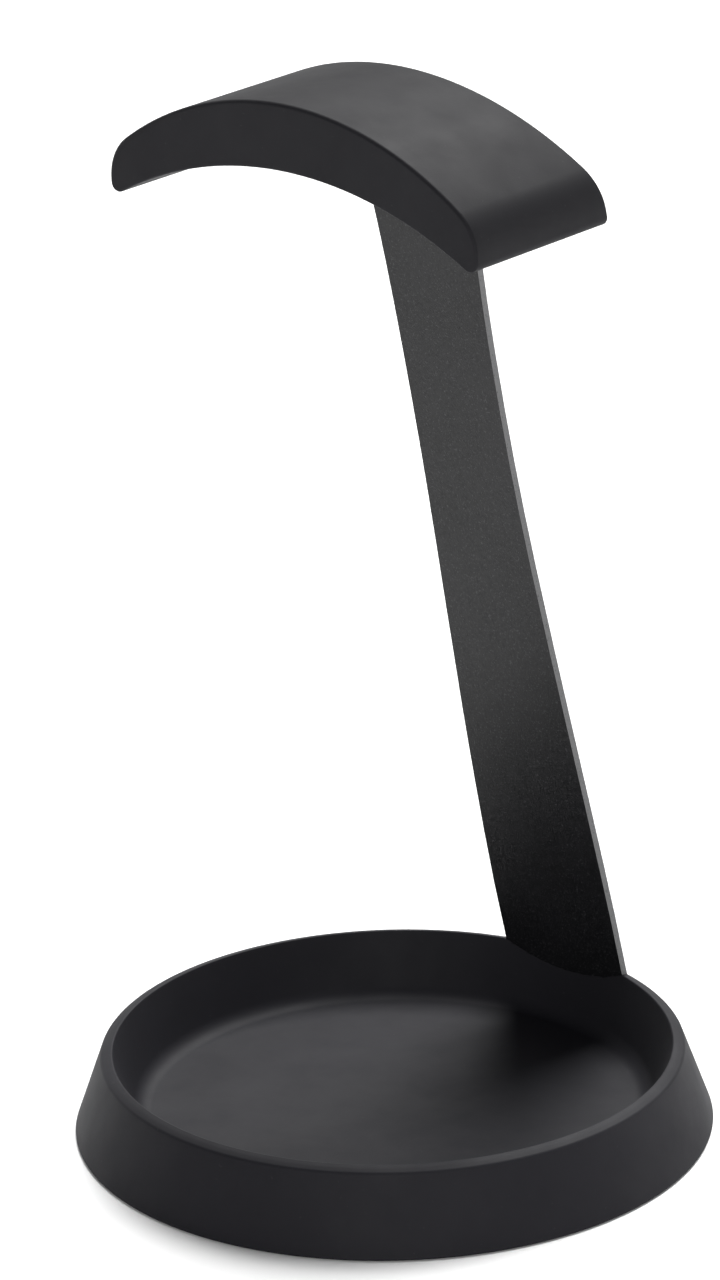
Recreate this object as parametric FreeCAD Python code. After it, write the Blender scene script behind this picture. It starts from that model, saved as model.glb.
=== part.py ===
import FreeCAD, Part
import math
import os

from FreeCAD import Vector

# Headphone stand: a round soft tray on a steel base plate, a slim steel upright that leans forward
# out of the tray's rear wall, and an arched soft cradle on top for the headband.
# Millimetres. +Z is up, the front is -Y, and the origin is the tray's centre on the table.

# ---- driving dimensions ----
TRAY_RADIUS = 83.1            # where the sloping wall would meet the underside, before rounding
TRAY_HEIGHT = 21.9            # the rim's inner edge above the table
TRAY_LIFT = 0.15              # the tray's skirt clears the table by this much
RIM_INNER_RADIUS = 72.6
RIM_OUTER_RADIUS = 75.7
RIM_OUTER_HEIGHT = 20.8       # the rim's top falls outwards to this height
RIM_CROWN = 0.12              # the rim's top is crowned by this much
FLOOR_RADIUS = 66.3           # where the sloping inner wall would meet the floor
FLOOR_TOP = 5.2
FLOOR_FILLET = 4.0
SKIRT_FILLET = 0.5
RIM_OUTER_FILLET = 2.4
RIM_INNER_FILLET = 0.5

PAD_RADIUS = 74.0
PAD_THICKNESS = 0.8
PLATE_RADIUS = 76.0
PLATE_THICKNESS = 1.5
PLATE_TOP = PAD_THICKNESS + PLATE_THICKNESS

PEG_COUNT = 5
PEG_RADIUS = 2.5
PEG_CIRCLE_RADIUS = 62.0
PEG_ROOT = 0.5                # how far a peg's cylinder runs up into the tray's floor

SHEET = 2.0                   # thickness of the upright's steel
UPRIGHT_FOOT_HALF_WIDTH = 20.0
UPRIGHT_HEAD_HALF_WIDTH = 20.0
UPRIGHT_STRAIGHT_TOP = 40.0   # the long edges are straight and upright below this height
UPRIGHT_SIDE_POINTS = (       # (half width, height) along the long edges, between foot and head
    (18.7, 82.0),
    (16.8, 124.0),
    (15.2, 165.0),
    (14.9, 200.0),            # the waist
    (16.8, 248.0),
)
UPRIGHT_RIM_Y = 69.9          # front face at the height of the tray's rim
UPRIGHT_HEAD_Y = 13.1         # front face at the height below
UPRIGHT_HEAD_Z = 272.0
UPRIGHT_BOW = 2.0             # the face stands this far forward of a straight line at mid height
BEND_RADIUS = 2.5             # inside the bend at the foot
FLANGE_TIP_Y = 38.0
FLANGE_CORNER_RADIUS = 5.0
FLANGE_TOP = PLATE_TOP + SHEET

CRADLE_HALF_WIDTH = 59.5
CRADLE_TOP = 279.8            # highest point of the arch
CRADLE_UNDERSIDE = 262.8      # crown of the arch's underside
CRADLE_TOP_RADIUS = 93.0
CRADLE_UNDERSIDE_RADIUS = 115.0
CRADLE_SHOULDER_FILLET = 13.0
CRADLE_TOE_FILLET = 2.5
CRADLE_EDGE_FILLET = 0.8
CRADLE_FRONT_Y = -30.0
CRADLE_BLANK_DEPTH = 80.0     # the arch is this deep before its back is cut off
SKIN = 2.5                    # thickness of the cradle's soft skin over its core
TOE_FILLET_LOSS = 0.6         # the toe's rounding shrinks by this share of the inset

HEAD_TOP_RADIUS = 89.5        # top edge of the upright, concentric with the arch
HEAD_CORNER_RADIUS = 3.0
CRADLE_SCREW_CIRCLE_RADIUS = 84.0
CRADLE_SCREW_SPACING = 12.5

FOOT_SCREW_SPACING_X = 26.0
FOOT_SCREW_ROWS_Y = (46.0, 62.0)

M4_RADIUS = 2.0
M4_CLEARANCE_RADIUS = 2.2
THREAD_GAP = 0.02
CSK_HEAD_RADIUS = 3.75
CSK_HEAD_RIM = 0.2
CSK_HEAD_HOLE_RADIUS = 4.5
BUTTON_HEAD_RADIUS = 3.8
BUTTON_HEAD_HEIGHT = 2.2
SOCKET_ACROSS_FLATS = 2.5
SOCKET_DEPTH = 1.3
WASHER_RADIUS = 4.5
WASHER_THICKNESS = 0.8
INSERT_RADIUS = 2.9
INSERT_LENGTH = 8.0
INSERT_GROOVE_DEPTH = 0.3
INSERT_GROOVE_WIDTH = 0.8
INSERT_GROOVE_PLACES = (0.3, 0.65)    # shares of the insert's length
CRADLE_SCREW_REACH = 8.0      # length of the screw in front of the upright's face
CRADLE_BORE_DEPTH = 11.0      # the core's bore runs on past the insert to this depth

FIT = 0.15                    # gap between a soft part and the hard part inside it
CONTACT = 0.02                # gap between faces that rest on each other
OVERSHOOT = 1.0               # cutting shapes run this far past the faces that they cut
FAR = 200.0                   # beyond every part of the stand's head
NEAR = 0.01                   # lengths that differ by less than this are the same

ARCH_CENTRE_Z = CRADLE_TOP - CRADLE_TOP_RADIUS
CSK_CONE_HEIGHT = CSK_HEAD_RADIUS - M4_RADIUS
CSK_HEAD_LOW = PLATE_TOP - CONTACT - CSK_CONE_HEIGHT - CSK_HEAD_RIM


# ---- small helpers ----
def arc_through(start, middle, end):
    return Part.Arc(start, middle, end).toShape()


def line(start, end):
    return Part.LineSegment(start, end).toShape()


def closed_face(edges):
    return Part.Face(Part.Wire(Part.__sortEdges__(edges)))


def fillet_circles(solid, circles):
    """Round the circular edges found at the given (radius, z), each with its own fillet."""
    for radius, z, fillet in circles:
        edges = [e for e in solid.Edges
                 if isinstance(e.Curve, Part.Circle)
                 and abs(e.Curve.Radius - radius) < NEAR
                 and abs(e.Curve.Center.z - z) < NEAR]
        solid = solid.makeFillet(fillet, edges)
    return solid


def hexagon_prism(base, direction, across_flats, depth):
    corner = across_flats / math.sqrt(3)
    points = []
    for k in range(7):
        angle = math.radians(60 * k)
        points.append(Vector(corner * math.cos(angle), corner * math.sin(angle), 0))
    prism = Part.Face(Part.makePolygon(points)).extrude(Vector(0, 0, depth))
    prism.Placement = FreeCAD.Placement(base, FreeCAD.Rotation(Vector(0, 0, 1), direction))
    return prism


def cylinder(base, direction, radius, length):
    return Part.makeCylinder(radius, length, base, direction)


# ---- the upright's curve ----
def bow_circle():
    """Centre and radius of the upright's front face, seen from the side as (y, z)."""
    low_y, low_z = UPRIGHT_RIM_Y, TRAY_HEIGHT
    high_y, high_z = UPRIGHT_HEAD_Y, UPRIGHT_HEAD_Z
    chord = math.hypot(high_y - low_y, high_z - low_z)
    radius = (chord * chord / 4 + UPRIGHT_BOW * UPRIGHT_BOW) / (2 * UPRIGHT_BOW)
    back_y = (high_z - low_z) / chord
    back_z = -(high_y - low_y) / chord
    reach = radius - UPRIGHT_BOW
    centre_y = (low_y + high_y) / 2 + back_y * reach
    centre_z = (low_z + high_z) / 2 + back_z * reach
    return centre_y, centre_z, radius


BOW_Y, BOW_Z, BOW_RADIUS = bow_circle()


def bow_point(radius, z):
    """Point at height z on the circle of that radius about the bow's centre."""
    return Vector(0, BOW_Y - math.sqrt(radius * radius - (z - BOW_Z) ** 2), z)


def upright_profile(gap):
    """Side view of the bent sheet, grown by gap on every face: flange, bend and bowed upright."""
    bend_y = BOW_Y - math.sqrt((BOW_RADIUS + BEND_RADIUS) ** 2 - (FLANGE_TOP + BEND_RADIUS - BOW_Z) ** 2)
    bend = Vector(0, bend_y, FLANGE_TOP + BEND_RADIUS)
    to_bow = Vector(0, BOW_Y, BOW_Z) - bend
    to_bow.normalize()
    down = Vector(0, 0, -1)
    halfway = to_bow + down
    halfway.normalize()
    inner = BEND_RADIUS - gap
    outer = BEND_RADIUS + SHEET + gap
    front = BOW_RADIUS + gap
    back = BOW_RADIUS - SHEET - gap
    top_z = CRADLE_TOP
    mid_z = (FLANGE_TOP + top_z) / 2
    tip_y = FLANGE_TIP_Y - gap
    tip_top = Vector(0, tip_y, FLANGE_TOP + gap)
    tip_low = Vector(0, tip_y, FLANGE_TOP - SHEET - gap)
    edges = [
        line(tip_top, bend + down * inner),
        arc_through(bend + down * inner, bend + halfway * inner, bend + to_bow * inner),
        arc_through(bend + to_bow * inner, bow_point(front, mid_z), bow_point(front, top_z)),
        line(bow_point(front, top_z), bow_point(back, top_z)),
        arc_through(bow_point(back, top_z), bow_point(back, mid_z), bend + to_bow * outer),
        arc_through(bend + to_bow * outer, bend + halfway * outer, bend + down * outer),
        line(bend + down * outer, tip_low),
        line(tip_low, tip_top),
    ]
    return closed_face(edges)


def upright_side(gap, side):
    """One long edge of the sheet: straight at the foot, drawn in at the waist, flared at the head."""
    points = [(UPRIGHT_FOOT_HALF_WIDTH, UPRIGHT_STRAIGHT_TOP)]
    points.extend(UPRIGHT_SIDE_POINTS)
    points.append((UPRIGHT_HEAD_HALF_WIDTH, head_corner_z()))
    curve = Part.BSplineCurve()
    curve.interpolate([Vector(side * (w + gap), 0, z) for w, z in points])
    return curve.toShape()


def head_corner_z():
    return ARCH_CENTRE_Z + math.sqrt(HEAD_TOP_RADIUS ** 2 - UPRIGHT_HEAD_HALF_WIDTH ** 2)


def upright_outline(gap):
    """Front view of the upright, grown by gap, as a prism that runs from front to back."""
    left = upright_side(gap, -1)
    right = upright_side(gap, 1)
    foot = UPRIGHT_FOOT_HALF_WIDTH + gap
    head = UPRIGHT_HEAD_HALF_WIDTH + gap
    head_z = head_corner_z()
    edges = [
        left,
        right,
        line(Vector(-foot, 0, 0), Vector(foot, 0, 0)),
        line(Vector(-foot, 0, 0), Vector(-foot, 0, UPRIGHT_STRAIGHT_TOP)),
        line(Vector(foot, 0, 0), Vector(foot, 0, UPRIGHT_STRAIGHT_TOP)),
        arc_through(Vector(-head, 0, head_z), Vector(0, 0, ARCH_CENTRE_Z + HEAD_TOP_RADIUS + gap),
                    Vector(head, 0, head_z)),
    ]
    prism = closed_face(edges).extrude(Vector(0, TRAY_RADIUS + OVERSHOOT, 0))
    corners = [e for e in prism.Edges
               if e.BoundBox.XMax - e.BoundBox.XMin < NEAR
               and abs(abs(e.BoundBox.XMin) - head) < NEAR
               and abs(e.BoundBox.ZMin - head_z) < NEAR
               and abs(e.BoundBox.ZMax - head_z) < NEAR]
    return prism.makeFillet(HEAD_CORNER_RADIUS, corners)


def upright_blank(gap):
    """The bent and waisted sheet with no holes, grown by gap: also the slot that it needs."""
    reach = UPRIGHT_FOOT_HALF_WIDTH + OVERSHOOT
    profile = upright_profile(gap)
    profile.translate(Vector(-reach, 0, 0))
    sheet = profile.extrude(Vector(2 * reach, 0, 0))
    return sheet.common(upright_outline(gap)).Solids[0]


# ---- fastener places ----
def foot_screw_places():
    places = []
    for y in FOOT_SCREW_ROWS_Y:
        for side in (-1, 1):
            places.append((side * FOOT_SCREW_SPACING_X / 2, y))
    return places


def cradle_screw_axis():
    """Direction square to the upright's head, from back to front."""
    z = ARCH_CENTRE_Z + CRADLE_SCREW_CIRCLE_RADIUS
    outward = bow_point(BOW_RADIUS, z) - Vector(0, BOW_Y, BOW_Z)
    outward.normalize()
    return outward


def cradle_screw_places():
    """Where each cradle screw's axis passes through the upright's front face."""
    places = []
    for k in (-1, 0, 1):
        x = k * CRADLE_SCREW_SPACING
        z = ARCH_CENTRE_Z + math.sqrt(CRADLE_SCREW_CIRCLE_RADIUS ** 2 - x * x)
        face = bow_point(BOW_RADIUS, z)
        places.append(Vector(x, face.y, face.z))
    return places


# ---- base ----
def tray_section():
    """Half section of the tray, from its axis to its skirt, before the corners are rounded."""
    inner = Vector(RIM_INNER_RADIUS, 0, TRAY_HEIGHT)
    outer = Vector(RIM_OUTER_RADIUS, 0, RIM_OUTER_HEIGHT)
    crown = (inner + outer) * 0.5 + Vector(0, 0, RIM_CROWN)
    pocket = PLATE_RADIUS + FIT
    corners = [
        outer,
        Vector(TRAY_RADIUS, 0, TRAY_LIFT),
        Vector(pocket, 0, TRAY_LIFT),
        Vector(pocket, 0, PLATE_TOP),
        Vector(0, 0, PLATE_TOP),
        Vector(0, 0, FLOOR_TOP),
        Vector(FLOOR_RADIUS, 0, FLOOR_TOP),
        inner,
    ]
    edges = [line(start, end) for start, end in zip(corners, corners[1:])]
    return closed_face(edges + [arc_through(inner, crown, outer)])


def tray():
    """Soft round tray: thick sloping wall, thin floor, pockets below for the steel parts."""
    solid = tray_section().revolve(Vector(0, 0, 0), Vector(0, 0, 1), 360)
    solid = fillet_circles(solid, [
        (FLOOR_RADIUS, FLOOR_TOP, FLOOR_FILLET),
        (RIM_INNER_RADIUS, TRAY_HEIGHT, RIM_INNER_FILLET),
        (RIM_OUTER_RADIUS, RIM_OUTER_HEIGHT, RIM_OUTER_FILLET),
        (TRAY_RADIUS, TRAY_LIFT, SKIRT_FILLET),
    ])
    solid = solid.cut(upright_blank(FIT))
    for x, y in peg_places():
        peg_low = PAD_THICKNESS + CONTACT
        solid = solid.fuse(cylinder(Vector(x, y, peg_low), Vector(0, 0, 1), PEG_RADIUS,
                                    PLATE_TOP + PEG_ROOT - peg_low))
    return solid


def peg_places():
    """Moulded pegs under the tray that locate it on the base plate."""
    places = []
    for k in range(PEG_COUNT):
        angle = math.radians(-90 + 360 * k / PEG_COUNT)
        places.append((PEG_CIRCLE_RADIUS * math.cos(angle), PEG_CIRCLE_RADIUS * math.sin(angle)))
    return places


def base_plate():
    """Flat steel disc that carries the upright and gives the stand its weight."""
    solid = cylinder(Vector(0, 0, PAD_THICKNESS), Vector(0, 0, 1), PLATE_RADIUS,
                     PLATE_THICKNESS - CONTACT)
    for x, y in peg_places():
        hole = cylinder(Vector(x, y, 0), Vector(0, 0, 1), PEG_RADIUS + FIT,
                        PLATE_TOP + OVERSHOOT)
        solid = solid.cut(hole)
    for x, y in foot_screw_places():
        hole = cylinder(Vector(x, y, 0), Vector(0, 0, 1), M4_CLEARANCE_RADIUS, PLATE_TOP + OVERSHOOT)
        solid = solid.cut(hole)
        solid = solid.cut(countersink(x, y, CONTACT))
    return solid


def countersink(x, y, gap):
    """Cone and rim of a countersunk head, grown by gap."""
    rim = cylinder(Vector(x, y, CSK_HEAD_LOW), Vector(0, 0, 1), CSK_HEAD_RADIUS + gap, CSK_HEAD_RIM)
    cone = Part.makeCone(CSK_HEAD_RADIUS + gap, M4_RADIUS + gap, CSK_CONE_HEIGHT,
                         Vector(x, y, CSK_HEAD_LOW + CSK_HEAD_RIM), Vector(0, 0, 1))
    return rim.fuse(cone)


def foot_pad():
    """Thin rubber sheet glued under the base plate, pierced for the screw heads."""
    solid = cylinder(Vector(0, 0, 0), Vector(0, 0, 1), PAD_RADIUS, PAD_THICKNESS - CONTACT)
    for x, y in foot_screw_places():
        hole = cylinder(Vector(x, y, -OVERSHOOT), Vector(0, 0, 1), CSK_HEAD_HOLE_RADIUS,
                        PAD_THICKNESS + OVERSHOOT * 2)
        solid = solid.cut(hole)
    return solid


def foot_screw(x, y):
    """Countersunk screw, up through the base plate into the upright's flange."""
    solid = countersink(x, y, 0)
    shank_low = CSK_HEAD_LOW + CSK_HEAD_RIM
    shank = cylinder(Vector(x, y, shank_low), Vector(0, 0, 1), M4_RADIUS, FLANGE_TOP - shank_low)
    solid = solid.fuse(shank).removeSplitter()
    socket = hexagon_prism(Vector(x, y, CSK_HEAD_LOW), Vector(0, 0, 1), SOCKET_ACROSS_FLATS, SOCKET_DEPTH)
    return solid.cut(socket)


# ---- upright ----
def upright():
    """One bent steel sheet: flange under the tray floor, bend in the wall, waisted leaning plate."""
    solid = upright_blank(0)
    tip_corners = [e for e in solid.Edges
                   if abs(e.BoundBox.YMax - FLANGE_TIP_Y) < NEAR
                   and e.BoundBox.ZMax - e.BoundBox.ZMin > SHEET * 0.9
                   and e.BoundBox.XMax - e.BoundBox.XMin < NEAR]
    solid = solid.makeFillet(FLANGE_CORNER_RADIUS, tip_corners)
    for x, y in foot_screw_places():
        hole = cylinder(Vector(x, y, 0), Vector(0, 0, 1), M4_RADIUS + THREAD_GAP,
                        FLANGE_TOP + OVERSHOOT)
        solid = solid.cut(hole)
    axis = cradle_screw_axis()
    for place in cradle_screw_places():
        start = place - axis * (SHEET + OVERSHOOT)
        solid = solid.cut(cylinder(start, axis, M4_CLEARANCE_RADIUS, SHEET + OVERSHOOT * 2))
    return solid


# ---- cradle ----
def crescent(inset):
    """Front view of the arch drawn in by inset, as a face in the XZ plane with rounded corners."""
    half = CRADLE_HALF_WIDTH - inset
    top_radius = CRADLE_TOP_RADIUS - inset
    low_radius = CRADLE_UNDERSIDE_RADIUS + inset
    low_centre_z = CRADLE_UNDERSIDE - CRADLE_UNDERSIDE_RADIUS
    top_end_z = ARCH_CENTRE_Z + math.sqrt(top_radius ** 2 - half ** 2)
    low_end_z = low_centre_z + math.sqrt(low_radius ** 2 - half ** 2)
    edges = [
        arc_through(Vector(-half, 0, top_end_z), Vector(0, 0, ARCH_CENTRE_Z + top_radius),
                    Vector(half, 0, top_end_z)),
        line(Vector(half, 0, top_end_z), Vector(half, 0, low_end_z)),
        arc_through(Vector(half, 0, low_end_z), Vector(0, 0, low_centre_z + low_radius),
                    Vector(-half, 0, low_end_z)),
        line(Vector(-half, 0, low_end_z), Vector(-half, 0, top_end_z)),
    ]
    return closed_face(edges), top_end_z, low_end_z, half


def arch_block(inset, front_y, back_offset):
    """Arch from front_y back to the plane of the upright's face moved back by back_offset."""
    face, top_end_z, low_end_z, half = crescent(inset)
    face.translate(Vector(0, front_y, 0))
    block = face.extrude(Vector(0, CRADLE_BLANK_DEPTH, 0))
    shoulder = (top_end_z, CRADLE_SHOULDER_FILLET - inset)
    toe = (low_end_z, CRADLE_TOE_FILLET - inset * TOE_FILLET_LOSS)
    for z, fillet in (shoulder, toe):
        corners = [e for e in block.Edges
                   if e.BoundBox.YMax - e.BoundBox.YMin > CRADLE_BLANK_DEPTH - NEAR
                   and abs(e.BoundBox.ZMax - z) < NEAR
                   and abs(abs(e.BoundBox.XMin) - half) < NEAR]
        block = block.makeFillet(fillet, corners)
    return block.cut(behind_upright(back_offset))


def behind_upright(back_offset):
    """Everything behind the plane of the upright's front face, moved back by back_offset."""
    axis = cradle_screw_axis()
    middle = cradle_screw_places()[1] - axis * back_offset
    slab = Part.makeBox(FAR * 2, FAR * 2, FAR, Vector(-FAR, -FAR, 0))
    slab.Placement = FreeCAD.Placement(middle, FreeCAD.Rotation(Vector(0, 0, 1), axis * -1))
    return slab


def cradle_core():
    """Rigid plastic arch inside the soft cradle, with bores for the threaded inserts."""
    solid = arch_block(SKIN, CRADLE_FRONT_Y + SKIN, -CONTACT)
    axis = cradle_screw_axis()
    for place in cradle_screw_places():
        start = place - axis * OVERSHOOT
        seat_depth = OVERSHOOT + INSERT_LENGTH + CONTACT
        solid = solid.cut(cylinder(start, axis, INSERT_RADIUS, seat_depth))
        solid = solid.cut(cylinder(start, axis, M4_CLEARANCE_RADIUS, OVERSHOOT + CRADLE_BORE_DEPTH))
    return solid


def cradle_cover():
    """Soft skin moulded over the core, open at the back where the upright's head comes in."""
    outer = arch_block(0, CRADLE_FRONT_Y, SHEET)
    front = [e for e in outer.Edges
             if abs(e.BoundBox.YMin - CRADLE_FRONT_Y) < NEAR
             and abs(e.BoundBox.YMax - CRADLE_FRONT_Y) < NEAR]
    outer = outer.makeFillet(CRADLE_EDGE_FILLET, front)
    cavity = arch_block(SKIN - CONTACT, CRADLE_FRONT_Y + SKIN - CONTACT, 0)
    outer = outer.cut(cavity)
    return outer.cut(upright_blank(FIT))


def cradle_insert(place):
    """Brass insert with an M4 thread, pressed into the core, with two gripping grooves."""
    axis = cradle_screw_axis()
    start = place + axis * CONTACT * 2
    solid = cylinder(start, axis, INSERT_RADIUS - CONTACT, INSERT_LENGTH - CONTACT * 2)
    groove_floor = INSERT_RADIUS - INSERT_GROOVE_DEPTH
    for share in INSERT_GROOVE_PLACES:
        groove_start = start + axis * (INSERT_LENGTH * share)
        ring = cylinder(groove_start, axis, INSERT_RADIUS + OVERSHOOT, INSERT_GROOVE_WIDTH)
        ring = ring.cut(cylinder(groove_start, axis, groove_floor, INSERT_GROOVE_WIDTH))
        solid = solid.cut(ring)
    return solid.cut(cylinder(place, axis, M4_RADIUS + THREAD_GAP, INSERT_LENGTH + OVERSHOOT))


def cradle_washer(place):
    """Plain washer behind the upright's head."""
    axis = cradle_screw_axis()
    start = place - axis * (SHEET + WASHER_THICKNESS)
    solid = cylinder(start, axis, WASHER_RADIUS, WASHER_THICKNESS - CONTACT)
    return solid.cut(cylinder(start - axis * OVERSHOOT, axis, M4_CLEARANCE_RADIUS,
                              WASHER_THICKNESS + OVERSHOOT * 2))


def cradle_screw(place):
    """Button-head screw from behind, through the washer and the upright into the insert."""
    axis = cradle_screw_axis()
    seat = place - axis * (SHEET + WASHER_THICKNESS + CONTACT)
    dome_radius = (BUTTON_HEAD_RADIUS ** 2 + BUTTON_HEAD_HEIGHT ** 2) / (2 * BUTTON_HEAD_HEIGHT)
    dome_centre = seat + axis * (dome_radius - BUTTON_HEAD_HEIGHT)
    dome = Part.makeSphere(dome_radius, dome_centre)
    head = dome.common(cylinder(seat - axis * BUTTON_HEAD_HEIGHT, axis, BUTTON_HEAD_RADIUS,
                                BUTTON_HEAD_HEIGHT))
    shank = cylinder(seat, axis, M4_RADIUS, WASHER_THICKNESS + SHEET + CRADLE_SCREW_REACH)
    solid = head.fuse(shank)
    socket = hexagon_prism(seat - axis * (BUTTON_HEAD_HEIGHT + OVERSHOOT), axis, SOCKET_ACROSS_FLATS,
                           SOCKET_DEPTH + OVERSHOOT)
    return solid.cut(socket)


# ---- write every sub-part ----
def sub_parts():
    parts = {
        "tray": tray(),
        "base_plate": base_plate(),
        "foot_pad": foot_pad(),
        "upright": upright(),
        "cradle_core": cradle_core(),
        "cradle_cover": cradle_cover(),
    }
    for number, (x, y) in enumerate(foot_screw_places(), start=1):
        parts[f"foot_screw_{number}"] = foot_screw(x, y)
    for number, place in enumerate(cradle_screw_places(), start=1):
        parts[f"cradle_insert_{number}"] = cradle_insert(place)
        parts[f"cradle_washer_{number}"] = cradle_washer(place)
        parts[f"cradle_screw_{number}"] = cradle_screw(place)
    return parts


os.makedirs("parts", exist_ok=True)
for name, shape in sub_parts().items():
    if len(shape.Solids) == 1:
        shape = shape.Solids[0]
    shape.exportStep(os.path.join("parts", name + ".step"))
    box = shape.optimalBoundingBox(False)
    print(f"{name}: solids {len(shape.Solids)} valid {shape.isValid()} volume {shape.Volume:.0f} mm3")
    print(f"  x {box.XMin:.1f}..{box.XMax:.1f} y {box.YMin:.1f}..{box.YMax:.1f} "
          f"z {box.ZMin:.1f}..{box.ZMax:.1f}")
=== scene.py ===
import math

import bmesh
import bpy
from mathutils import Matrix, Vector


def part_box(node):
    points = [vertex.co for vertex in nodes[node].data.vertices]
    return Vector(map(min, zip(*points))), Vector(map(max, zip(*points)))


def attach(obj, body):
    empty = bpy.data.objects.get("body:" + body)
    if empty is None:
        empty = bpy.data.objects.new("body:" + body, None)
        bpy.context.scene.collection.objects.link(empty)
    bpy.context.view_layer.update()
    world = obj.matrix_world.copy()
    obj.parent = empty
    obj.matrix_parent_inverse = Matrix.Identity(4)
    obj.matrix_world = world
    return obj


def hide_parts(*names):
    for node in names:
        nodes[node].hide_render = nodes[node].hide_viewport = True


# Headphone stand, in metres. +Z is up, the front is -Y, and the origin is the tray's centre on the table.

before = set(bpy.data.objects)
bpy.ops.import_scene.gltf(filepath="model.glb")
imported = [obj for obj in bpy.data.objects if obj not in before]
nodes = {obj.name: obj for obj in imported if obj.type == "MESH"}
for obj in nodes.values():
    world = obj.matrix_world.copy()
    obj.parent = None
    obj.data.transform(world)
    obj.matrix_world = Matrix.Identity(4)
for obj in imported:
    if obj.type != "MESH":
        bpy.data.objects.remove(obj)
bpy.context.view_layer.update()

MM = 0.001

# ---- sizes of the soft pieces, in millimetres ----
TRAY_RADIUS = 83.1
TRAY_HEIGHT = 21.9
TRAY_LIFT = 0.15              # the skirt's lower edge clears the table by this much
RIM_INNER_RADIUS = 72.6
RIM_OUTER_RADIUS = 75.7
RIM_OUTER_HEIGHT = 20.8
RIM_CROWN = 0.12              # the rim's top swells this far above the line between its edges
FLOOR_RADIUS = 66.3
FLOOR_TOP = 5.2
FLOOR_FILLET = 5.0
SKIRT_FILLET = 0.5
RIM_OUTER_FILLET = 1.2
RIM_CROWN_FILLET = 6.0
RIM_INNER_FILLET = 0.45
POCKET_RADIUS = 76.15
POCKET_TOP = 2.3
PEG_COUNT = 5
PEG_RADIUS = 2.5
PEG_CIRCLE_RADIUS = 62.0
PEG_LOW = 0.82
PEG_ROOT = 0.5                # the pegs reach this far into the tray's floor
HOLE_REACH = 2.3              # a little more than the radius of the tapped holes in the upright's flange
SLOT_GAP = 0.15               # the slots in the soft pieces clear the upright by this much

PAD_RADIUS = 74.0
PAD_THICKNESS = 0.78
PAD_EDGE_FILLET = 0.35
PAD_HOLE_RADIUS = 4.5
DRILL_OVERSHOOT = 1.0         # the drills pass both faces of the pad by this much
FOOT_SCREW_X = 13.0
FOOT_SCREW_ROWS_Y = (46.0, 62.0)

CRADLE_TOP = 279.8
CRADLE_HALF_WIDTH = 59.5
CRADLE_TOP_RADIUS = 93.0
CRADLE_UNDERSIDE = 262.8
CRADLE_UNDERSIDE_RADIUS = 115.0
CRADLE_SHOULDER_FILLET = 13.0
CRADLE_TOE_FILLET = 2.5
TOE_FILLET_LOSS = 0.75        # the toe's fillet shrinks by this share of an inset: the outline stays simple
CRADLE_FRONT_Y = -30.0
CRADLE_UPPER_EDGE_FILLET = 1.0
CRADLE_LOWER_EDGE_FILLET = 0.5
CRADLE_BACK_EDGE_FILLET = 0.5
SKIN = 2.48                   # thickness of the cradle's rubber round the core
SHEET = 2.0                   # thickness of the rubber behind the core, the same as the upright's sheet
ARCH_CENTRE_Z = CRADLE_TOP - CRADLE_TOP_RADIUS
LOW_CENTRE_Z = CRADLE_UNDERSIDE - CRADLE_UNDERSIDE_RADIUS

# ---- fineness of the meshes ----
TURN_STEPS = 288
FILLET_STEPS = 10
SUPPORT = 0.4                 # a rounding is flanked by rings this far from it
SUPPORT_ROOM = 3              # where the straight beside it is longer than this many times its reach
WELD = 0.001                  # points of a cut mesh nearer than this are joined, in millimetres
UPRIGHT_WELD = 0.0005         # the same for the upright's mesh
SAME_PLANE = 0.00005          # points of the core whose y differs by less, in metres, are equally far back
LEVEL_DIGITS = 5              # decimals of a z, in metres, that count when heights are compared
TOP_ARC_STEPS = 26
UNDERSIDE_ARC_STEPS = 22
CRADLE_DEPTH_STEPS = 14
SHOULDER_STEPS = 20
TOE_STEPS = 13
CYLINDER_SIDES = 48
FLOOR_SIDES = 96
SHARP_ANGLE = math.radians(32)
FLOOR_RING_SHARES = (0.3, 0.6, 0.85)
INNER_WALL_SHARES = (0.4, 0.55, 0.7, 0.82, 0.92)
OUTER_WALL_SHARES = (0.25, 0.5, 0.75)

# ---- camera: a long lens, from the front right and above; millimetres for the lens and sensor only ----
CAMERA_AZIMUTH = math.radians(41.76)
CAMERA_ELEVATION = math.radians(20.69)
CAMERA_ROLL = math.radians(-1.58)
CAMERA_DISTANCE = 1.5148
CAMERA_LENS = 168.75
SENSOR_WIDTH = 36
NEAREST_SEEN = 0.05
AIM_RIGHT = -0.0055
AIM_HEIGHT = 0.1334


def make_camera():
    """Camera that looks at the middle of the stand, with a slight roll."""
    back = Vector((math.sin(CAMERA_AZIMUTH) * math.cos(CAMERA_ELEVATION),
                   -math.cos(CAMERA_AZIMUTH) * math.cos(CAMERA_ELEVATION),
                   math.sin(CAMERA_ELEVATION)))
    level_right = Vector((math.cos(CAMERA_AZIMUTH), math.sin(CAMERA_AZIMUTH), 0))
    level_up = level_right.cross(-back)
    right = level_right * math.cos(CAMERA_ROLL) + level_up * math.sin(CAMERA_ROLL)
    up = level_up * math.cos(CAMERA_ROLL) - level_right * math.sin(CAMERA_ROLL)
    target = level_right * AIM_RIGHT + Vector((0, 0, AIM_HEIGHT))
    data = bpy.data.cameras.new("camera")
    data.lens = CAMERA_LENS
    data.sensor_width = SENSOR_WIDTH
    data.clip_start = NEAREST_SEEN
    camera = bpy.data.objects.new("camera", data)
    camera.matrix_world = Matrix.Translation(target + back * CAMERA_DISTANCE) @ Matrix(
        (right, up, back)).transposed().to_4x4()
    bpy.context.scene.collection.objects.link(camera)
    bpy.context.scene.camera = camera


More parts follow.
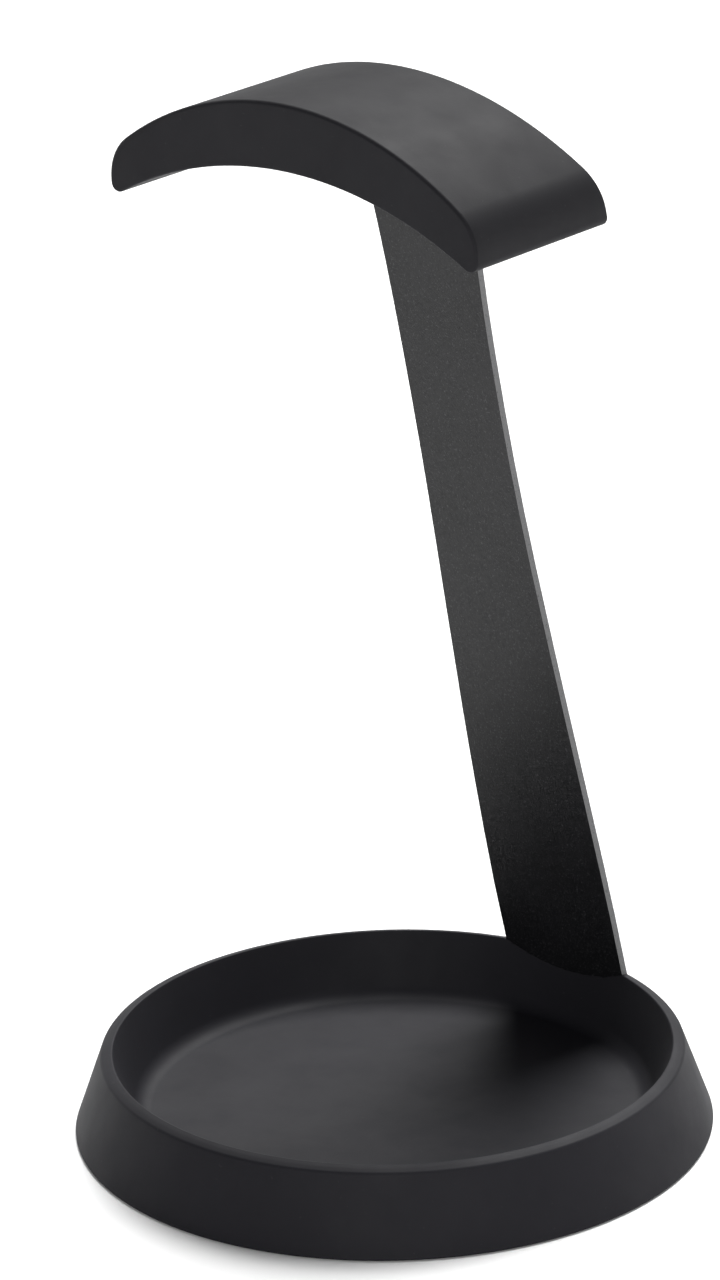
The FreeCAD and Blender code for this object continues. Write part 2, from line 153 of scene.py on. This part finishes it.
# ---- light: a white table lit by a wide soft source behind and above, and by low panels ----
KEY_DIRECTION = Vector((-0.4, 1.1, 1.85))
KEY_STRENGTH = 5.3
KEY_ANGLE = math.radians(38)
PANELS = (                    # name, width, height, radiance, place
    ("panel_right_back", 1.2, 0.6, 2.0, (1.5, 1.9, 0.35)),
    ("panel_left_back", 1.2, 0.8, 2.0, (-2.2, 0.6, 0.5)),
    ("panel_front", 1.6, 1.0, 5.0, (1.6, -1.8, 0.8)),
)
PANEL_AIM = Vector((0, 0, 0.1))
WORLD_FRONT = 0.10            # the world's strength in front of the stand and behind it
WORLD_BACK = 0.35
WORLD_FRONT_Y = -0.6          # y of the directions where those two strengths are reached
WORLD_BACK_Y = 0.8
HORIZON_GLOW = 0.6            # the world is brighter near the horizon, and the glow fades between these rises
HORIZON_LOW = 0.16
HORIZON_HIGH = 0.36
FLOOR_RADIUS_M = 12.0
FLOOR_DROP = 0.00005          # keeps the table from coinciding with the pad


def make_panel(name, width, height, radiance, place):
    data = bpy.data.lights.new(name, "AREA")
    data.shape = "RECTANGLE"
    data.size = width
    data.size_y = height
    data.energy = radiance * math.pi * width * height
    light = bpy.data.objects.new(name, data)
    light.location = place
    light.rotation_euler = (PANEL_AIM - Vector(place)).to_track_quat("-Z", "Y").to_euler()
    bpy.context.scene.collection.objects.link(light)


def make_studio():
    """World, key light and panels, with colours shown as they are."""
    world = bpy.data.worlds.new("studio")
    world.use_nodes = True
    tree = world.node_tree
    background = tree.nodes["Background"]
    coordinates = tree.nodes.new("ShaderNodeTexCoord")
    axes = tree.nodes.new("ShaderNodeSeparateXYZ")
    tree.links.new(coordinates.outputs["Generated"], axes.inputs["Vector"])
    spread = tree.nodes.new("ShaderNodeMapRange")
    spread.inputs["From Min"].default_value = WORLD_FRONT_Y
    spread.inputs["From Max"].default_value = WORLD_BACK_Y
    spread.inputs["To Min"].default_value = WORLD_FRONT
    spread.inputs["To Max"].default_value = WORLD_BACK
    tree.links.new(axes.outputs["Y"], spread.inputs["Value"])
    horizon = tree.nodes.new("ShaderNodeMapRange")
    horizon.inputs["From Min"].default_value = HORIZON_LOW
    horizon.inputs["From Max"].default_value = HORIZON_HIGH
    horizon.inputs["To Min"].default_value = HORIZON_GLOW
    horizon.inputs["To Max"].default_value = 0
    tree.links.new(axes.outputs["Z"], horizon.inputs["Value"])
    total = tree.nodes.new("ShaderNodeMath")
    total.operation = "ADD"
    tree.links.new(spread.outputs["Result"], total.inputs[0])
    tree.links.new(horizon.outputs["Result"], total.inputs[1])
    tree.links.new(total.outputs["Value"], background.inputs["Strength"])
    background.inputs["Color"].default_value = (1, 1, 1, 1)
    bpy.context.scene.world = world
    key_data = bpy.data.lights.new("key", "SUN")
    key_data.energy = KEY_STRENGTH
    key_data.angle = KEY_ANGLE
    key = bpy.data.objects.new("key", key_data)
    key.rotation_euler = KEY_DIRECTION.to_track_quat("Z", "Y").to_euler()
    bpy.context.scene.collection.objects.link(key)
    for panel in PANELS:
        make_panel(*panel)
    bpy.context.scene.view_settings.view_transform = "Standard"


# ---- materials: colours in pairs are the dark and the light of soft clouds ----
TRAY_COLOURS = ((0.0076, 0.0073, 0.0100), (0.0092, 0.0089, 0.0120))
CRADLE_COLOURS = ((0.0050, 0.0048, 0.0066), (0.0062, 0.0060, 0.0080))
RUBBER_DUST = (0.035, 0.035, 0.037)
PAD_COLOURS = ((0.012, 0.012, 0.012), (0.017, 0.017, 0.017))
PAD_DUST = (0.03, 0.03, 0.03)
COAT_COLOURS = ((0.0055, 0.0055, 0.0062), (0.0080, 0.0080, 0.0090))
COAT_GRAIN = (0.035, 0.035, 0.037)
COAT_RUBBED = (0.022, 0.022, 0.024)
# painted highlight: a lighter tone given to the coat's sideways faces, the sheet's cut edges
SIDE_PAINTED_HIGHLIGHT = (0.115, 0.115, 0.118)
PLASTIC_COLOURS = ((0.016, 0.016, 0.017), (0.021, 0.021, 0.022))
BRASS_COLOURS = ((0.62, 0.44, 0.18), (0.74, 0.55, 0.26))
OXIDE_COLOURS = ((0.028, 0.028, 0.030), (0.055, 0.054, 0.054))
TABLE_COLOURS = ((0.88, 0.88, 0.88), (0.90, 0.90, 0.90))
SOFT_GRAIN = (0.0005, 0.000018)  # size and depth of a moulded grain, in metres
PAD_GRAIN = (0.0009, 0.00002)
NARROW = (0.35, 0.65)         # the stretch of a noise's values that is spread over the whole output
WIDE = (0.3, 0.7)             # the same for a softer change
SIDEWAYS = (0.6, 0.9)         # size of a normal's x where the painted highlight on sideways faces starts and where it is full


class Material:
    """A node material whose patterns are placed by the object's own metres."""

    def __init__(self, name):
        self.made = bpy.data.materials.new(name)
        self.made.use_nodes = True
        self.tree = self.made.node_tree
        self.shader = self.tree.nodes["Principled BSDF"]
        self.place = self.tree.nodes.new("ShaderNodeTexCoord").outputs["Object"]

    def set(self, socket, value):
        self.shader.inputs[socket].default_value = value

    def noise(self, size, detail=3.0, roughness=0.55, stretch=(1, 1, 1)):
        """Noise whose features are about size metres across."""
        mapping = self.tree.nodes.new("ShaderNodeMapping")
        mapping.inputs["Scale"].default_value = stretch
        node = self.tree.nodes.new("ShaderNodeTexNoise")
        node.inputs["Scale"].default_value = 1 / size
        node.inputs["Detail"].default_value = detail
        node.inputs["Roughness"].default_value = roughness
        self.tree.links.new(self.place, mapping.inputs["Vector"])
        self.tree.links.new(mapping.outputs["Vector"], node.inputs["Vector"])
        return node.outputs["Fac"]

    def painted_highlight_sides(self):
        """1 on faces that look sideways, the sheet's cut edges, where a highlight is painted; else 0."""
        geometry = self.tree.nodes.new("ShaderNodeNewGeometry")
        axes = self.tree.nodes.new("ShaderNodeSeparateXYZ")
        self.tree.links.new(geometry.outputs["True Normal"], axes.inputs["Vector"])
        size = self.tree.nodes.new("ShaderNodeMath")
        size.operation = "ABSOLUTE"
        self.tree.links.new(axes.outputs["X"], size.inputs[0])
        return self.spread(size.outputs["Value"], *SIDEWAYS, 0, 1)

    def spread(self, value, low_in, high_in, low_out, high_out):
        node = self.tree.nodes.new("ShaderNodeMapRange")
        for socket, number in (("From Min", low_in), ("From Max", high_in),
                               ("To Min", low_out), ("To Max", high_out)):
            node.inputs[socket].default_value = number
        self.tree.links.new(value, node.inputs["Value"])
        return node.outputs["Result"]

    def mix(self, share, first, second):
        """Colours first and second (sockets or tuples) mixed by share."""
        node = self.tree.nodes.new("ShaderNodeMix")
        node.data_type = "RGBA"
        self.tree.links.new(share, node.inputs["Factor"])
        for socket, colour in ((node.inputs[6], first), (node.inputs[7], second)):
            if isinstance(colour, tuple):
                socket.default_value = (*colour, 1)
            else:
                self.tree.links.new(colour, socket)
        return node.outputs[2]

    def colour(self, value):
        self.tree.links.new(value, self.shader.inputs["Base Color"])

    def roughness(self, value):
        self.tree.links.new(value, self.shader.inputs["Roughness"])

    def bumps(self, layers):
        """Bump layers, each (height, depth in metres), from the coarsest to the finest."""
        normal = None
        for height, depth in layers:
            node = self.tree.nodes.new("ShaderNodeBump")
            node.inputs["Distance"].default_value = depth
            self.tree.links.new(height, node.inputs["Height"])
            if normal is not None:
                self.tree.links.new(normal, node.inputs["Normal"])
            normal = node.outputs["Normal"]
        self.tree.links.new(normal, self.shader.inputs["Normal"])


def moulded_rubber(name, colours, dust, grain):
    """Matt moulded rubber: clouded colour, faint dust, satin to matt patches, fine grain."""
    grain_size, grain_depth = grain
    material = Material(name)
    material.set("Specular IOR Level", 0.18)
    clouds = material.spread(material.noise(0.035), *NARROW, 0, 1)
    base = material.mix(clouds, *colours)
    specks = material.spread(material.noise(0.0011, 2.0), 0.70, 0.80, 0, 0.35)
    material.colour(material.mix(specks, base, dust))
    material.roughness(material.spread(material.noise(0.012, 4.0), *WIDE, 0.60, 0.67))
    material.bumps([
        (material.noise(0.022, 1.0), 0.00004),
        (material.noise(grain_size, 3.0, 0.6), grain_depth),
    ])
    return material.made


def powder_coat():
    """Black powder coat: fine pebbled grain with tiny glints, rubbed a little in places, and a painted
    highlight on its sideways faces.
    """
    material = Material("powder_coat")
    material.set("Specular IOR Level", 0.24)
    clouds = material.spread(material.noise(0.02), *NARROW, 0, 1)
    face = material.mix(clouds, *COAT_COLOURS)
    # the sideways faces, the sheet's cut edges, get a lighter tone: a painted highlight
    base = material.mix(material.painted_highlight_sides(), face, SIDE_PAINTED_HIGHLIGHT)
    rubbed = material.spread(material.noise(0.004, 4.0, 0.7, (1, 1, 0.4)), 0.68, 0.76, 0, 0.4)
    grains = material.spread(material.noise(0.0005, 1.0), 0.60, 0.72, 0, 0.8)
    grained = material.mix(grains, base, COAT_GRAIN)
    material.colour(material.mix(rubbed, grained, COAT_RUBBED))
    material.roughness(material.spread(material.noise(0.0009, 3.0), *NARROW, 0.34, 0.50))
    material.bumps([
        (material.noise(0.0016, 2.0), 0.00003),
        (material.noise(0.00042, 2.0, 0.5), 0.000032),
    ])
    return material.made


def metal(name, colours, rough_low, rough_high, metallic):
    """Small turned or plated parts: patchy colour, uneven gloss, fine tool marks."""
    material = Material(name)
    material.set("Metallic", metallic)
    patches = material.spread(material.noise(0.0025, 4.0), *WIDE, 0, 1)
    material.colour(material.mix(patches, *colours))
    material.roughness(material.spread(material.noise(0.0012, 4.0), *WIDE, rough_low, rough_high))
    material.bumps([(material.noise(0.0004, 3.0), 0.000008)])
    return material.made


def moulded_plastic():
    """Black moulded plastic with a light spark-eroded texture."""
    material = Material("moulded_plastic")
    patches = material.spread(material.noise(0.02), *NARROW, 0, 1)
    material.colour(material.mix(patches, *PLASTIC_COLOURS))
    material.roughness(material.spread(material.noise(0.004, 4.0), *WIDE, 0.42, 0.56))
    material.bumps([(material.noise(0.0005, 3.0), 0.00002)])
    return material.made


def table_white():
    """Pale matt table with the faintest clouding."""
    material = Material("table_white")
    material.set("Specular IOR Level", 0.2)
    clouds = material.noise(0.3, 2.0)
    material.colour(material.mix(clouds, *TABLE_COLOURS))
    material.roughness(material.spread(material.noise(0.01), *WIDE, 0.75, 0.85))
    return material.made


# ---- meshes ----
def piece_from(name, bm, material, slot, *stands_for):
    """Put a finished bmesh, in metres, into the scene as a piece that rides on the stand."""
    bmesh.ops.recalc_face_normals(bm, faces=bm.faces)
    mesh = bpy.data.meshes.new(name)
    bm.to_mesh(mesh)
    bm.free()
    piece = bpy.data.objects.new(name, mesh)
    bpy.context.scene.collection.objects.link(piece)
    mesh.materials.append(material)
    smooth(mesh)
    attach(piece, "root")
    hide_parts(*stands_for)


def smooth(mesh):
    mesh.polygons.foreach_set("use_smooth", [True] * len(mesh.polygons))
    mesh.set_sharp_from_angle(angle=SHARP_ANGLE)


def rounded(corners):
    """Closed outline through (x, z, fillet) corners, each rounded by its fillet."""
    points = []
    for k, (x, z, fillet) in enumerate(corners):
        corner = Vector((x, z))
        if not fillet:
            points.append(corner)
            continue
        before = Vector(corners[k - 1][:2]) - corner
        after = Vector(corners[(k + 1) % len(corners)][:2]) - corner
        half_angle = before.angle(after) / 2
        bisector = (before.normalized() + after.normalized()).normalized()
        centre = corner + bisector * (fillet / math.sin(half_angle))
        reach = fillet / math.tan(half_angle)
        start = corner + before.normalized() * reach - centre
        turn = math.pi - 2 * half_angle
        if start.x * (-bisector.y) - start.y * (-bisector.x) < 0:
            turn = -turn
        if before.length > SUPPORT_ROOM * (reach + SUPPORT):
            points.append(corner + before.normalized() * (reach + SUPPORT))
        for step in range(FILLET_STEPS + 1):
            angle = turn * step / FILLET_STEPS
            points.append(centre + Vector((start.x * math.cos(angle) - start.y * math.sin(angle),
                                           start.x * math.sin(angle) + start.y * math.cos(angle))))
        if after.length > SUPPORT_ROOM * (reach + SUPPORT):
            points.append(corner + after.normalized() * (reach + SUPPORT))
    return points


def between(start, end, shares):
    """Sharp corners on the straight line from start to end, at the given shares of it."""
    return [(start[0] + (end[0] - start[0]) * share, start[1] + (end[1] - start[1]) * share, 0)
            for share in shares]


def turned(points):
    """Solid of revolution about Z of an outline in millimetres that starts and ends on the axis."""
    bm = bmesh.new()
    rings = []
    for point in points:
        radius, z = point.x * MM, point.y * MM
        if radius < MM * WELD:
            rings.append([bm.verts.new((0, 0, z))])
            continue
        ring = []
        for step in range(TURN_STEPS):
            angle = 2 * math.pi * step / TURN_STEPS
            ring.append(bm.verts.new((radius * math.cos(angle), radius * math.sin(angle), z)))
        rings.append(ring)
    for first, second in zip(rings, rings[1:]):
        join_rings(bm, first, second)
    return bm


def join_rings(bm, first, second):
    """Faces between two rings of the same length, or between a ring and a single point."""
    count = max(len(first), len(second))
    for k in range(count):
        following = (k + 1) % count
        if len(first) == 1:
            bm.faces.new((first[0], second[k], second[following]))
        elif len(second) == 1:
            bm.faces.new((first[k], second[0], first[following]))
        else:
            bm.faces.new((first[k], second[k], second[following], first[following]))


def close_shell(bm, rings):
    """Closed solid from a row of rings, with a flat cap over the first and the last."""
    for first, second in zip(rings, rings[1:]):
        join_rings(bm, first, second)
    caps = [bm.faces.new(rings[0]), bm.faces.new(rings[-1])]
    for cap in caps:
        cap.normal_update()
    bmesh.ops.triangulate(bm, faces=caps, ngon_method="EAR_CLIP")
    bmesh.ops.recalc_face_normals(bm, faces=bm.faces)


def shells(bm):
    """The separate shells of a mesh, each as the set of its vertices."""
    unseen = set(bm.verts)
    found = []
    while unseen:
        waiting = [unseen.pop()]
        shell = set(waiting)
        while waiting:
            for edge in waiting.pop().link_edges:
                fresh = unseen.intersection(edge.verts)
                unseen -= fresh
                shell |= fresh
                waiting.extend(fresh)
        found.append(shell)
    return found


def remove_plugs(bm):
    """Take away the shells that lie inside a head screw's box: rubber left in the upright's holes."""
    boxes = [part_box(name) for name in nodes if name.startswith("cradle_screw")]
    plugs = []
    for shell in shells(bm):
        for low_corner, high_corner in boxes:
            if all(least <= value <= most for vertex in shell
                   for least, value, most in zip(low_corner, vertex.co, high_corner)):
                plugs.extend(shell)
    bmesh.ops.delete(bm, geom=plugs, context="VERTS")


def add_cylinder(bm, x, y, low, high, radius):
    """Upright cylinder, in millimetres."""
    place = Matrix.Translation(Vector((x, y, (low + high) / 2)) * MM)
    bmesh.ops.create_cone(bm, cap_ends=True, segments=CYLINDER_SIDES, radius1=radius * MM,
                          radius2=radius * MM, depth=(high - low) * MM, matrix=place)


def fill_flange_holes(bm):
    """Take the walls of the flange's tapped holes away and close the sheet over them."""
    middles = []
    for name in nodes:
        if name.startswith("foot_screw"):
            low_corner, high_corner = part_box(name)
            middles.append((Vector(low_corner) + Vector(high_corner)) / 2)
    walls = []
    for face in bm.faces:
        for middle in middles:
            if all((vertex.co - middle).xy.length < HOLE_REACH * MM for vertex in face.verts):
                walls.append(face)
    bmesh.ops.delete(bm, geom=walls, context="FACES")
    bmesh.ops.holes_fill(bm, edges=[edge for edge in bm.edges if edge.is_boundary], sides=0)


def upright_cutter():
    """The upright's welded mesh with its flange holes filled, grown by the slot's gap, as a bmesh."""
    bm = bmesh.new()
    bm.from_mesh(nodes["upright"].data)
    bmesh.ops.remove_doubles(bm, verts=bm.verts, dist=MM * UPRIGHT_WELD)
    fill_flange_holes(bm)
    bmesh.ops.recalc_face_normals(bm, faces=bm.faces)
    bm.normal_update()
    moves = [vertex.normal * (vertex.calc_shell_factor() * SLOT_GAP * MM) for vertex in bm.verts]
    for vertex, move in zip(bm.verts, moves):
        vertex.co += move
    return bm


def combine(bm, tool, operation):
    """The first bmesh with the second one added or taken away."""
    objects = []
    for shape in (bm, tool):
        mesh = bpy.data.meshes.new("work")
        shape.to_mesh(mesh)
        shape.free()
        worker = bpy.data.objects.new("work", mesh)
        bpy.context.scene.collection.objects.link(worker)
        objects.append(worker)
    modifier = objects[0].modifiers.new("combine", "BOOLEAN")
    modifier.object = objects[1]
    modifier.operation = operation
    modifier.solver = "EXACT"
    evaluated = objects[0].evaluated_get(bpy.context.evaluated_depsgraph_get())
    result = bmesh.new()
    result.from_mesh(evaluated.to_mesh())
    for worker in objects:
        mesh = worker.data
        bpy.data.objects.remove(worker)
        bpy.data.meshes.remove(mesh)
    bmesh.ops.remove_doubles(result, verts=result.verts, dist=MM * WELD)
    bmesh.ops.dissolve_degenerate(result, edges=result.edges, dist=MM * WELD)
    return result


# ---- pieces ----
def make_tray(material):
    """Round tray with a sloping wall, a slot for the upright and pegs under its floor."""
    crown = ((RIM_INNER_RADIUS + RIM_OUTER_RADIUS) / 2,
             (TRAY_HEIGHT + RIM_OUTER_HEIGHT) / 2 + RIM_CROWN)
    floor_edge = (FLOOR_RADIUS, FLOOR_TOP)
    rim_inner = (RIM_INNER_RADIUS, TRAY_HEIGHT)
    rim_outer = (RIM_OUTER_RADIUS, RIM_OUTER_HEIGHT)
    skirt = (TRAY_RADIUS, TRAY_LIFT)
    outline = rounded([
        (0, FLOOR_TOP, 0),
        *between((0, FLOOR_TOP), floor_edge, FLOOR_RING_SHARES),
        (*floor_edge, FLOOR_FILLET),
        *between(floor_edge, rim_inner, INNER_WALL_SHARES),
        (*rim_inner, RIM_INNER_FILLET),
        (*crown, RIM_CROWN_FILLET),
        (*rim_outer, RIM_OUTER_FILLET),
        *between(rim_outer, skirt, OUTER_WALL_SHARES),
        (*skirt, SKIRT_FILLET),
        (POCKET_RADIUS, TRAY_LIFT, 0),
        (POCKET_RADIUS, POCKET_TOP, 0),
        (0, POCKET_TOP, 0),
    ])
    bm = turned(outline)
    bmesh.ops.recalc_face_normals(bm, faces=bm.faces)
    bm = combine(bm, upright_cutter(), "DIFFERENCE")
    pegs = bmesh.new()
    for k in range(PEG_COUNT):
        angle = math.radians(-90 + 360 * k / PEG_COUNT)
        add_cylinder(pegs, PEG_CIRCLE_RADIUS * math.cos(angle), PEG_CIRCLE_RADIUS * math.sin(angle),
                     PEG_LOW, POCKET_TOP + PEG_ROOT, PEG_RADIUS)
    bm = combine(bm, pegs, "UNION")
    piece_from("soft_tray", bm, material, "tray_rubber", "tray")


def make_pad(material):
    """Thin round pad with a hole under each foot screw."""
    bm = turned(rounded([
        (0, PAD_THICKNESS, 0),
        (PAD_RADIUS, PAD_THICKNESS, 0),
        (PAD_RADIUS, 0, PAD_EDGE_FILLET),
        (0, 0, 0),
    ]))
    bmesh.ops.recalc_face_normals(bm, faces=bm.faces)
    drills = bmesh.new()
    for y in FOOT_SCREW_ROWS_Y:
        for x in (-FOOT_SCREW_X, FOOT_SCREW_X):
            add_cylinder(drills, x, y, -DRILL_OVERSHOOT, PAD_THICKNESS + DRILL_OVERSHOOT, PAD_HOLE_RADIUS)
    bm = combine(bm, drills, "DIFFERENCE")
    piece_from("rubber_pad", bm, material, "pad_rubber", "foot_pad")


def arc(x, z, radius, start, end, steps):
    """Points (x, z) along an arc, both ends included."""
    points = []
    for step in range(steps + 1):
        angle = start + (end - start) * step / steps
        points.append(Vector((x + radius * math.cos(angle), z + radius * math.sin(angle))))
    return points


def cradle_outline(inset):
    """Front view of the arch drawn in by inset: the right half from the crown down, then the left."""
    half = CRADLE_HALF_WIDTH - inset
    top = CRADLE_TOP_RADIUS - inset
    low = CRADLE_UNDERSIDE_RADIUS + inset
    shoulder = CRADLE_SHOULDER_FILLET - inset
    toe = CRADLE_TOE_FILLET - inset * TOE_FILLET_LOSS
    shoulder_x = half - shoulder
    shoulder_z = ARCH_CENTRE_Z + math.sqrt((top - shoulder) ** 2 - shoulder_x ** 2)
    toe_x = half - toe
    toe_z = LOW_CENTRE_Z + math.sqrt((low + toe) ** 2 - toe_x ** 2)
    shoulder_angle = math.atan2(shoulder_z - ARCH_CENTRE_Z, shoulder_x)
    toe_angle = math.atan2(toe_z - LOW_CENTRE_Z, toe_x)
    right = arc(0, ARCH_CENTRE_Z, top, math.pi / 2, shoulder_angle, TOP_ARC_STEPS)
    right += arc(shoulder_x, shoulder_z, shoulder, shoulder_angle, 0, SHOULDER_STEPS)[1:]
    right += arc(toe_x, toe_z, toe, 0, toe_angle - math.pi, TOE_STEPS)
    right += arc(0, LOW_CENTRE_Z, low, toe_angle, math.pi / 2, UNDERSIDE_ARC_STEPS)[1:]
    left = [Vector((-point.x, point.y)) for point in reversed(right[1:-1])]
    return right + left


def back_plane():
    """A point of the upright's front face at its head, and the direction square to it, forwards."""
    points = [vertex.co for vertex in nodes["cradle_core"].data.vertices]
    spot = Vector((0, max(point.y for point in points), 0))
    spot.z = min(point.z for point in points if point.y > spot.y - SAME_PLANE)
    top = max(points, key=lambda point: (round(point.z, LEVEL_DIGITS), point.y))
    along = top - spot
    along.x = 0
    along.normalize()
    return spot / MM, Vector((0, -along.z, along.y))


def make_cradle(material):
    """Soft arch: a skin all round the core, with a slot in its back for the upright's head."""
    spot, forwards = back_plane()

    def back_y(z, depth=SHEET):
        """The y, at height z, of the plane that lies depth behind the upright's front face."""
        return spot.y + (-depth - (z - spot.z) * forwards.z) / forwards.y

    outline = cradle_outline(0)
    count = len(outline)
    inwards = []
    for k, point in enumerate(outline):
        along = outline[(k + 1) % count] - outline[k - 1]
        inwards.append(Vector((along.y, -along.x)).normalized())

    def edge_radius(k):
        """Radius of the front edge, which is rounder above than below."""
        lower_share = (inwards[k].y + 1) / 2
        return CRADLE_UPPER_EDGE_FILLET * (1 - lower_share) + CRADLE_LOWER_EDGE_FILLET * lower_share

    bm = bmesh.new()

    def ring(places):
        return [bm.verts.new((x * MM, y * MM, z * MM)) for x, y, z in places]

    row = []
    for k, point in enumerate(outline):
        spot_in = point + inwards[k] * (edge_radius(k) + SUPPORT)
        row.append((spot_in.x, CRADLE_FRONT_Y, spot_in.y))
    rings = [ring(row)]
    for step in range(FILLET_STEPS + 1):
        angle = math.pi / 2 * step / FILLET_STEPS
        row = []
        for k, point in enumerate(outline):
            radius = edge_radius(k)
            spot_in = point + inwards[k] * (radius * (1 - math.sin(angle)))
            row.append((spot_in.x, CRADLE_FRONT_Y + radius * (1 - math.cos(angle)), spot_in.y))
        rings.append(ring(row))
    for step in range(1, CRADLE_DEPTH_STEPS + 1):
        row = []
        for k, point in enumerate(outline):
            start = CRADLE_FRONT_Y + edge_radius(k)
            end = back_y(point.y) - CRADLE_BACK_EDGE_FILLET
            row.append((point.x, start + (end - start) * step / CRADLE_DEPTH_STEPS, point.y))
        rings.append(ring(row))
    for step in range(1, FILLET_STEPS + 1):
        angle = math.pi / 2 * step / FILLET_STEPS
        row = []
        for k, point in enumerate(outline):
            spot_in = point + inwards[k] * (CRADLE_BACK_EDGE_FILLET * (1 - math.cos(angle)))
            y = back_y(spot_in.y) - CRADLE_BACK_EDGE_FILLET * (1 - math.sin(angle))
            row.append((spot_in.x, y, spot_in.y))
        rings.append(ring(row))
    flat = [point + inwards[k] * (CRADLE_BACK_EDGE_FILLET + SUPPORT) for k, point in enumerate(outline)]
    rings.append(ring([(point.x, back_y(point.y), point.y) for point in flat]))
    close_shell(bm, rings)
    cavity = bmesh.new()
    hollow = cradle_outline(SKIN)
    ends = [[(point.x, CRADLE_FRONT_Y + SKIN, point.y) for point in hollow],
            [(point.x, back_y(point.y, 0), point.y) for point in hollow]]
    close_shell(cavity, [[cavity.verts.new(Vector(place) * MM) for place in end] for end in ends])
    bm = combine(bm, cavity, "DIFFERENCE")
    bm = combine(bm, upright_cutter(), "DIFFERENCE")
    remove_plugs(bm)
    piece_from("soft_cradle", bm, material, "cradle_rubber", "cradle_cover")


def make_hard_parts():
    """Give every piece whose shape comes from the frame its material."""
    coat = powder_coat()
    plastic = moulded_plastic()
    brass = metal("turned_brass", BRASS_COLOURS, 0.24, 0.40, 1.0)
    oxide = metal("black_oxide", OXIDE_COLOURS, 0.26, 0.42, 0.85)
    for name, node in nodes.items():
        if name in ("upright", "base_plate"):
            material = coat
        elif name == "cradle_core":
            material = plastic
        elif name.startswith("cradle_insert"):
            material = brass
        else:
            material = oxide
        node.data.materials.clear()
        node.data.materials.append(material)


def make_floor():
    """White table that reaches far beyond the stand."""
    bpy.ops.mesh.primitive_circle_add(vertices=FLOOR_SIDES, radius=FLOOR_RADIUS_M, fill_type="NGON")
    floor = bpy.context.object
    floor.name = "floor"
    floor.data.materials.append(table_white())
    floor.location.z = -FLOOR_DROP


make_camera()
make_studio()
make_hard_parts()
make_tray(moulded_rubber("tray_rubber_matt", TRAY_COLOURS, RUBBER_DUST, SOFT_GRAIN))
make_cradle(moulded_rubber("cradle_rubber_matt", CRADLE_COLOURS, RUBBER_DUST, SOFT_GRAIN))
make_pad(moulded_rubber("pad_rubber_matt", PAD_COLOURS, PAD_DUST, PAD_GRAIN))
make_floor()
